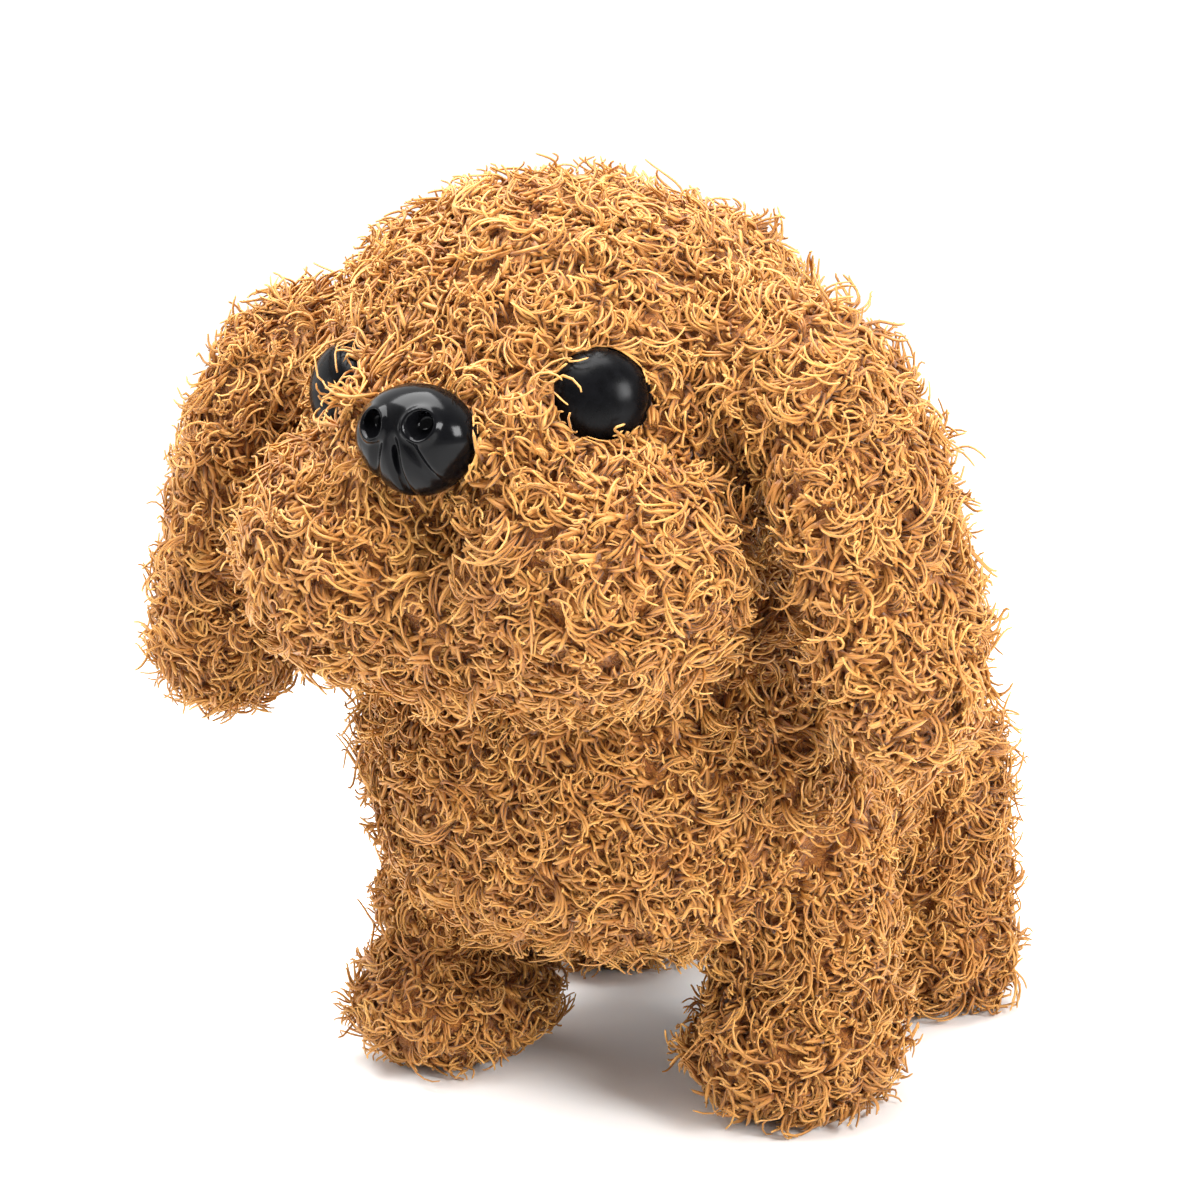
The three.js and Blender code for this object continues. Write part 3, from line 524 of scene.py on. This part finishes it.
# ---- Tail ----
# A stub of three small stuffed lumps on the tail lever, sewn to the rump at its root.
TAIL = [
    lump((0, 67.2, 79.5), (7.5, 7, 8)),
    lump((0, 71.2, 87), (8.8, 8.5, 9.5)),
    lump((0, 75.2, 95), (9.6, 9.2, 9.4)),
]
TAIL_PILE, TAIL_VOXEL, TAIL_CAP = 4, 1.6, 0.8  # mm
tail_skin = stuff(sew("tail_skin", TAIL, inset=TAIL_PILE, voxel=TAIL_VOXEL), cap=TAIL_CAP)
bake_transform(tail_skin)
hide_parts("tail_plush")

# ---- Curly pile ----
# The plush is a long poodle pile of golden tan polyester. Short thick down covers the backing,
# and over it stand tufts of four to seven yarn ends that curl together and open at their tips.
rng = np.random.default_rng(7)
UP = np.array([0, 0, 1.0])
# Lengths are in mm. A strand leaves the skin at its lean, in degrees from upright, and bends
# round by its turn, and stands no more than its stand above the skin. The rows are places
# along it.
DOWN = {
    "gap": 2.0,
    "strands": (2, 4),
    "lean": (30, 80),
    "length": (4.0, 6.0),
    "turn": (40, 130),
    "stand": 2.6,
    "yarn": 0.46,
    "shade": 0.3,
    "rows": (0, 0.4, 0.8, 1),
}
CURLS = {
    "gap": 2.6,
    "strands": (4, 7),
    "lean": (15, 60),
    "length": (7.0, 12.0),
    "turn": (150, 380),
    "stand": 5.2,
    "yarn": 0.29,
    "shade": 0.5,
    "rows": (0, 0.14, 0.28, 0.42, 0.56, 0.7, 0.84, 0.96, 1),
}

# Brushed polyester yarn: satin, with a soft sheen. Over the yarn's golden tan, each strand darkens
# towards its root, painted shade of the deep pile, and pales towards its tip, painted light on the
# tips.
# u is the strand's shade and v runs from its root to its tip.
yarn, tree, shader = new_material(
    "curled_polyester_yarn", Roughness=0.55, Sheen_Weight=0.1, Sheen_Roughness=0.4
)
strand_map = add_node(tree, "ShaderNodeUVMap", uv_map="OFBake")
strand_place = add_node(tree, "ShaderNodeSeparateXYZ", {"Vector": strand_map.outputs["UV"]})
# Painted shade and light: each ramp runs dark at the root and pale at the tip.
DEEP = [(0, "#74400f"), (0.4, "#a86a29"), (1, "#be8238")]
PALE = [(0, "#8f5316"), (0.35, "#c48a3e"), (1, "#dcab5e")]
deep = add_ramp(tree, strand_place.outputs["Y"], DEEP)
pale = add_ramp(tree, strand_place.outputs["Y"], PALE)
mixed = add_node(tree, "ShaderNodeMix", {"Factor": strand_place.outputs["X"]}, data_type="RGBA")
tree.links.new(deep, mixed.inputs[6])
tree.links.new(pale, mixed.inputs[7])
tree.links.new(mixed.outputs[2], shader.inputs["Base Color"])


def unit(vectors):
    return vectors / np.maximum(np.linalg.norm(vectors, axis=-1, keepdims=True), 1e-12)


def spread(skin, gap):
    """Points over a skin, no two closer than gap mm, and the skin's normal at each."""
    mesh = skin.data
    mesh.calc_loop_triangles()
    corners = np.array([t.vertices for t in mesh.loop_triangles])
    place = np.array([v.co for v in mesh.vertices])
    facing = np.array([v.normal for v in mesh.vertices])
    a, b, c = (place[corners[:, k]] for k in range(3))
    area = np.linalg.norm(np.cross(b - a, c - a), axis=1) / 2
    tries = int(6 * area.sum() / (gap * MM) ** 2)
    chosen = corners[rng.choice(len(area), tries, p=area / area.sum())]
    u, v = rng.random(tries), rng.random(tries)
    over = u + v > 1
    u[over], v[over] = 1 - u[over], 1 - v[over]
    share = np.stack([1 - u - v, u, v], 1)[:, :, None]
    points = (place[chosen] * share).sum(1)
    normals = unit((facing[chosen] * share).sum(1))
    cells, kept = {}, []
    keys = np.floor(points / (gap * MM)).astype(int)
    around = [(i, j, k) for i in (-1, 0, 1) for j in (-1, 0, 1) for k in (-1, 0, 1)]
    for i, (x, y, z) in enumerate(keys.tolist()):
        for dx, dy, dz in around:
            near = cells.get((x + dx, y + dy, z + dz))
            if near is not None and ((points[near] - points[i]) ** 2).sum() < (gap * MM) ** 2:
                break
        else:
            cells[x, y, z] = i
            kept.append(i)
    return points[kept], normals[kept]


def curl(base, normal, lay, size, kind):
    """Strands for tufts rooted at base. lay is each tuft's direction along the skin and size
    scales it. Gives each strand's points, shade and tuft. A strand is an arc that bends over
    towards its lay, or round to one side, or between the two."""
    tufts = len(base)
    lean = np.radians(rng.uniform(*kind["lean"], tufts))[:, None]
    turn = np.radians(rng.uniform(*kind["turn"], tufts))
    aside = np.radians(rng.uniform(-85, 85, tufts))[:, None]
    length = rng.uniform(*kind["length"], tufts)
    shade = rng.normal(kind["shade"], 0.16, tufts)
    start = normal * np.cos(lean) + lay * np.sin(lean)
    hinge = np.cross(normal, lay) * np.cos(aside) + normal * np.sin(aside)
    fewest, most = kind["strands"]
    owner = np.repeat(np.arange(tufts), rng.integers(fewest, most + 1, tufts))
    count = len(owner)
    normal, size = normal[owner], size[owner]
    start = unit(start[owner] + rng.normal(0, 0.2, (count, 3)))
    hinge = unit(hinge[owner] + rng.normal(0, 0.2, (count, 3)))
    root = base[owner] + rng.normal(0, 0.6, (count, 3)) * MM
    length = length[owner] * rng.uniform(0.7, 1.2, count) * size * MM
    bend = turn[owner] * rng.uniform(0.8, 1.2, count) / length
    along = length[:, None] * np.array(kind["rows"])
    rise = (hinge * start).sum(-1, keepdims=True)
    angle = (bend[:, None] * along)[..., None]
    path = root[:, None] + (hinge * rise)[:, None] * along[..., None]
    path += (start - hinge * rise)[:, None] * np.sin(angle) / bend[:, None, None]
    path += np.cross(hinge, start)[:, None] * (1 - np.cos(angle)) / bend[:, None, None]
    height = ((path - base[owner][:, None]) * normal[:, None]).sum(-1)
    least = MM * (1.1 * np.array(kind["rows"]) - 0.5)
    most = (rng.uniform(0.8, 1.25, tufts)[owner] * size * kind["stand"] * MM)[:, None]
    wanted = np.maximum(least, most * np.tanh(height / most))
    path += (wanted - height)[..., None] * normal[:, None]
    shade = np.clip(shade[owner] + rng.normal(0, 0.13, count), 0, 1)
    return path, shade, owner


def push_out(path, part, grow):
    """Moves the points that are in a lump straight out to its surface."""
    own, turn = into(part, path)
    radii = np.array(part["radii"]) + grow
    out = np.sqrt(((own / radii) ** 2).sum(-1, keepdims=True))
    own = np.where(out < 1, own / np.maximum(out, 0.2), own)
    return (own @ turn.T + np.array(part["centre"])) * MM


def tubes(path, shade, thick):
    """A closed three-sided tube along each strand, tapered to a blunt point. Gives the points,
    the faces' corners and sizes, and each corner's place on the strand map."""
    count, rows = path.shape[0], path.shape[1] - 1
    course = unit(np.gradient(path, axis=1))
    side = unit(np.cross(course[:, 0], UP + rng.normal(0, 0.05, (count, 3))))
    thick = thick * MM * rng.uniform(0.8, 1.2, (count, 1))
    rings = []
    for row in range(rows):
        side = unit(side - course[:, row] * (side * course[:, row]).sum(-1, keepdims=True))
        other = np.cross(course[:, row], side)
        girth = thick * (1 - 0.5 * (row / rows) ** 2)
        for corner in range(3):
            turn = 2 * math.pi * corner / 3
            rings.append(path[:, row] + girth * (side * math.cos(turn) + other * math.sin(turn)))
    points = np.stack(rings + [path[:, rows]], 1)
    faces, places = [(2, 1, 0)], [(0.7, 0.01), (0.3, 0.01), (0, 0)]
    for row in range(rows):
        low, high = row / rows, (row + 1) / rows
        for corner in range(3):
            a, b = 3 * row + corner, 3 * row + (corner + 1) % 3
            u, w = corner / 3, (corner + 1) / 3
            if row < rows - 1:
                faces.append((a, b, b + 3, a + 3))
                places += [(u, low), (w, low), (w, high), (u, high)]
            else:
                faces.append((a, b, 3 * rows))
                places += [(u, low), (w, low), ((u + w) / 2, high)]
    each = points.shape[1]
    loops = np.concatenate([np.array(face) for face in faces])
    index = (np.arange(count)[:, None] * each + loops).ravel()
    sizes = np.tile([len(face) for face in faces], count)
    places = np.array(places)
    across = 0.02 + 0.92 * shade[:, None] + 0.04 * places[:, 0]
    up = np.broadcast_to(0.01 + 0.98 * places[:, 1], across.shape)
    return points.reshape(-1, 3), index, sizes, np.stack([across, up], -1).reshape(-1, 2)


def spin(name, coats):
    """One mesh of every coat's strands."""
    points, index, sizes, places, first = [], [], [], [], 0
    for path, shade, thick in coats:
        made = tubes(path, shade, thick)
        points.append(made[0])
        index.append(made[1] + first)
        sizes.append(made[2])
        places.append(made[3])
        first += len(made[0])
    points, index, sizes, places = map(np.concatenate, (points, index, sizes, places))
    mesh = bpy.data.meshes.new(name)
    mesh.vertices.add(len(points))
    mesh.vertices.foreach_set("co", points.astype(np.float32).ravel())
    mesh.loops.add(len(index))
    mesh.loops.foreach_set("vertex_index", index.astype(np.int32))
    mesh.polygons.add(len(sizes))
    starts = np.concatenate([[0], np.cumsum(sizes)[:-1]])
    mesh.polygons.foreach_set("loop_start", starts.astype(np.int32))
    mesh.polygons.foreach_set("use_smooth", np.ones(len(sizes), bool))
    mesh.update(calc_edges=True)
    layer = mesh.uv_layers.new(name="OFBake")
    layer.data.foreach_set("uv", places.astype(np.float32).ravel())
    mesh.materials.append(yarn)
    piece = bpy.data.objects.new(name, mesh)
    bpy.context.scene.collection.objects.link(piece)
    return piece


# The eyes and the nose as lumps that the pile lies round.
EYES = [lump((s * EYE[0], EYE[1], EYE[2]), (7.6, 7.6, 7.6)) for s in (1, -1)]
NOSE_LUMP = lump((0, -78.5, 127.8), (11, 9, 10))
ALL_LEGS = [part for skin, parts, *ends in legs.values() for part in parts]
SEAM_RADII = (11, 16, 15)  # mm, of the place where an ear is sewn on, which has no pile of the head
EAR_ROOTS = [{**parts[0], "radii": SEAM_RADII} for skin, parts, *ends in ears.values()]
FLOOR = 0.6  # mm, as low as the middle of a strand goes
TUCK = 2.5  # mm, how deep inside another skin the pile goes on
DOOR_MARGIN, DOOR_OVERHANG = 1.5, 0.5  # mm of bare skin round the belly's cut, and of strand over it
DROOP = 0.35  # how much the pile lies downwards
SOLE_HEIGHT, SOLE_SHARE = 3, 0.45  # mm, and how long the pile is under it
BROW_SHARE = 0.42  # how much longer the pile is beside the inner side of each eye
PUSH = 0.6  # mm that strands keep from the eyes and the nose


def plant(skin, others, kind, panel):
    """Covers a skin in one coat, leaving out what lies in the other parts. panel numbers each
    root's panel. Gives each panel's strands."""
    base, normal = spread(skin, kind["gap"])
    low, high = (np.array(corner) * MM for corner in OPENING)
    edge = DOOR_MARGIN * MM
    at_door = np.all((base > low - edge) & (base < high + edge), axis=1)
    bare = inside(others, base, -TUCK) | inside([NOSE_LUMP] + EYES, base, -0.5) | at_door
    base, normal = base[~bare], normal[~bare]
    lay = rng.normal(0, 0.55, base.shape) - UP * DROOP
    for part in EYES + [NOSE_LUMP]:
        away = base / MM - np.array(part["centre"])
        near = np.exp(-(((reach(part, base) - 1) / 0.5) ** 2))[:, None]
        lay = lay * (1 - 0.4 * near) + unit(away) * near * 0.3
    lay = unit(lay - normal * (lay * normal).sum(-1, keepdims=True))
    size = np.where(base[:, 2] < SOLE_HEIGHT * MM, SOLE_SHARE, 1)
    for part in EYES:
        inner = np.abs(base[:, 0]) < (EYE[0] - 1) * MM
        size = size + inner * BROW_SHARE * np.exp(-(((reach(part, base) - 1) / 0.8) ** 2))
    path, shade, owner = curl(base, normal, lay, size, kind)
    for part in EYES + [NOSE_LUMP]:
        path = push_out(path, part, PUSH)
    edge = DOOR_OVERHANG * MM
    in_door = np.any(np.all((path > low + edge) & (path < high - edge), axis=2), axis=1)
    path[:, :, 2] = np.maximum(path[:, :, 2], FLOOR * MM)
    numbers = panel(base[owner] / MM)
    panels = {}
    for number in set(numbers[~in_door]):
        chosen = ~in_door & (numbers == number)
        panels[number] = (path[chosen], shade[chosen], kind["yarn"])
    return panels


def whole(place):
    return np.zeros(len(place), int)


def cover(skin, others, names, panel=whole):
    """The pile of one skin, in both coats, as one piece for each name."""
    coats = [plant(skin, others, kind, panel) for kind in (DOWN, CURLS)]
    return [spin(name, [coat[n] for coat in coats if n in coat]) for n, name in enumerate(names)]


def head_panel(place):
    crown = (place[:, 2] > 128) & (place[:, 1] > -52)
    nape = place[:, 1] > -42
    return np.select([crown, nape, place[:, 0] > 0], [0, 1, 2], 3)


HEAD_PANELS = [f"head_pile_{part}" for part in ("crown", "nape", "face_left", "face_right")]
for piece in cover(head_skin, BODY[2:] + EAR_ROOTS, HEAD_PANELS, head_panel):
    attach(piece, "chassis")


def body_panel(place):
    chest, rump = place[:, 1] < -22, place[:, 1] > 38
    return np.select([chest, rump, place[:, 0] > 0], [0, 1, 2], 3)


BODY_PANELS = [f"body_pile_{part}" for part in ("chest", "rump", "flank_left", "flank_right")]
for piece in cover(body_skin, HEAD + ALL_LEGS, BODY_PANELS, body_panel):
    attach(piece, "chassis")

for side, (skin, parts, start, end) in ears.items():
    for piece in cover(skin, HEAD, [f"ear_pile_{side}"]):
        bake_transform(piece)

for (end_name, side), (skin, parts, start, end) in legs.items():
    for piece in cover(skin, BODY, [f"leg_pile_{end_name}_{side}"]):
        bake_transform(piece)

for piece in cover(tail_skin, BODY, ["tail_pile"]):
    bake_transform(piece)

# ---- Nose ----
# A hollow button nose of glossy black plastic on a stem: a wide egg with two ringed nostrils,
# a deep groove down its middle and a shallower one under each nostril, which part its lower
# edge into lobes.
gloss_black, tree, shader = new_material(
    "polished_black_plastic", IOR=1.49, Specular_IOR_Level=0.12
)
place = add_node(tree, "ShaderNodeTexCoord").outputs["Object"]
haze = add_node(
    tree, "ShaderNodeTexNoise", {"Vector": place, "Scale": 1 / (3 * MM), "Detail": 3}
)
tint = add_ramp(tree, haze.outputs["Fac"], [(0.3, "#050506"), (0.7, "#0a0a0c")])
tree.links.new(tint, shader.inputs["Base Color"])
gloss = add_node(
    tree,
    "ShaderNodeMapRange",
    {"Value": haze.outputs["Fac"], "To Min": 0.08, "To Max": 0.2},
)
tree.links.new(gloss.outputs["Result"], shader.inputs["Roughness"])

bpy.ops.object.select_all(action="DESELECT")
bpy.ops.mesh.primitive_uv_sphere_add(segments=128, ring_count=96, radius=1)
nose = bpy.context.object
nose.name = "nose_button"
NOSTRILS = ((4.4, 3.0), (-4.4, 3.0))
for vertex in nose.data.vertices:
    sx, sz, sy = vertex.co  # the sphere's pole looks forwards
    wide = 11.0 - 1.9 * max(0, -sz) ** 1.3
    x, z = sx * wide, sz * (8.8 if sz > 0 else 9.6)
    depth = 8.2 * abs(sy) ** 0.9 if sy > 0 else -4.0 * abs(sy)
    if sy > 0:
        for nx, nz in NOSTRILS:
            far = math.hypot(x - nx, z - nz)
            depth += 0.75 * math.exp(-(((far - 2.5) / 0.55) ** 2))
            depth -= 2.6 * math.exp(-((far / 1.9) ** 4))
        lower = 1 / (1 + math.exp((z - 0.5) * 1.6))
        depth -= 1.7 * lower * math.exp(-((x / 0.75) ** 2))
        for sign in (1, -1):
            flute = sign * (2.6 + 0.42 * max(0, 1 - z))
            depth -= 1.0 * lower * math.exp(-(((x - flute) / 0.9) ** 2))
    vertex.co = (Vector((x, -depth, z)) + Vector(NOSE) + Vector((0, 1.5, 0))) * MM
bpy.ops.object.mode_set(mode="EDIT")
bpy.ops.mesh.select_all(action="SELECT")
bpy.ops.mesh.remove_doubles(threshold=1e-6)
bpy.ops.mesh.normals_make_consistent(inside=False)
bpy.ops.object.mode_set(mode="OBJECT")
bpy.ops.object.shade_smooth()
nose.data.materials.append(gloss_black)
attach(nose, "nose")
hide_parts("nose")

# ---- Eyes ----
# Safety eyes: black domes with a thin rolled rim, pressed through the skin onto their washers.
# They are the nose's plastic, rubbed a little dull by the pile round them.
eye_black, tree, shader = new_material(
    "rubbed_black_plastic", IOR=1.49, Specular_IOR_Level=0.08
)
place = add_node(tree, "ShaderNodeTexCoord").outputs["Object"]
rubbed = add_node(tree, "ShaderNodeTexNoise", {"Vector": place, "Scale": 1 / (2 * MM)})
tint = add_ramp(tree, rubbed.outputs["Fac"], [(0.3, "#060607"), (0.7, "#0b0b0d")])
tree.links.new(tint, shader.inputs["Base Color"])
RUBBED = {"Value": rubbed.outputs["Fac"], "To Min": 0.2, "To Max": 0.34}
gloss = add_node(tree, "ShaderNodeMapRange", RUBBED)
tree.links.new(gloss.outputs["Result"], shader.inputs["Roughness"])

EYE_PROFILE = [(8.2, -1.2), (8.35, -0.6), (8.2, -0.1), (7.9, 0.25), (7.75, 0.5)]
DOME_RADIUS, DOME_HEIGHT = 7.75, 4.9  # mm
RINGS = 32
DOME = [
    (DOME_RADIUS * math.cos(math.radians(a)), 0.5 + DOME_HEIGHT * math.sin(math.radians(a)))
    for a in range(6, 90, 6)
]
for side, sign in (("left", 1), ("right", -1)):
    bpy.ops.object.select_all(action="DESELECT")
    bpy.ops.mesh.primitive_uv_sphere_add(segments=64, ring_count=RINGS, radius=1)
    eye = bpy.context.object
    eye.name = f"eye_dome_{side}"
    profile = [(0, -1.2)] + EYE_PROFILE + DOME + [(0, 5.4)]
    look = Vector((sign * EYE_LOOK.x, EYE_LOOK.y, EYE_LOOK.z))
    turn = look.to_track_quat("Z", "Y")
    steps = np.linspace(0, len(profile) - 1, RINGS + 1)
    radii = np.interp(steps, range(len(profile)), [p[0] for p in profile])
    heights = np.interp(steps, range(len(profile)), [p[1] for p in profile])
    for vertex in eye.data.vertices:
        row = round((1 - math.acos(max(-1, min(1, vertex.co.z))) / math.pi) * RINGS)
        around = Vector((vertex.co.x, vertex.co.y, 0))
        around = around.normalized() if around.length > 1e-6 else Vector((0, 0, 0))
        point = around * radii[row] + Vector((0, 0, heights[row]))
        vertex.co = (turn @ point + Vector((sign * EYE[0], EYE[1], EYE[2]))) * MM
    bpy.ops.object.mode_set(mode="EDIT")
    bpy.ops.mesh.select_all(action="SELECT")
    bpy.ops.mesh.remove_doubles(threshold=1e-6)
    bpy.ops.mesh.normals_make_consistent(inside=False)
    bpy.ops.object.mode_set(mode="OBJECT")
    bpy.ops.object.shade_smooth_by_angle(angle=math.radians(40))
    eye.data.materials.append(eye_black)
    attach(eye, "chassis")
    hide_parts(f"eye_{side}")
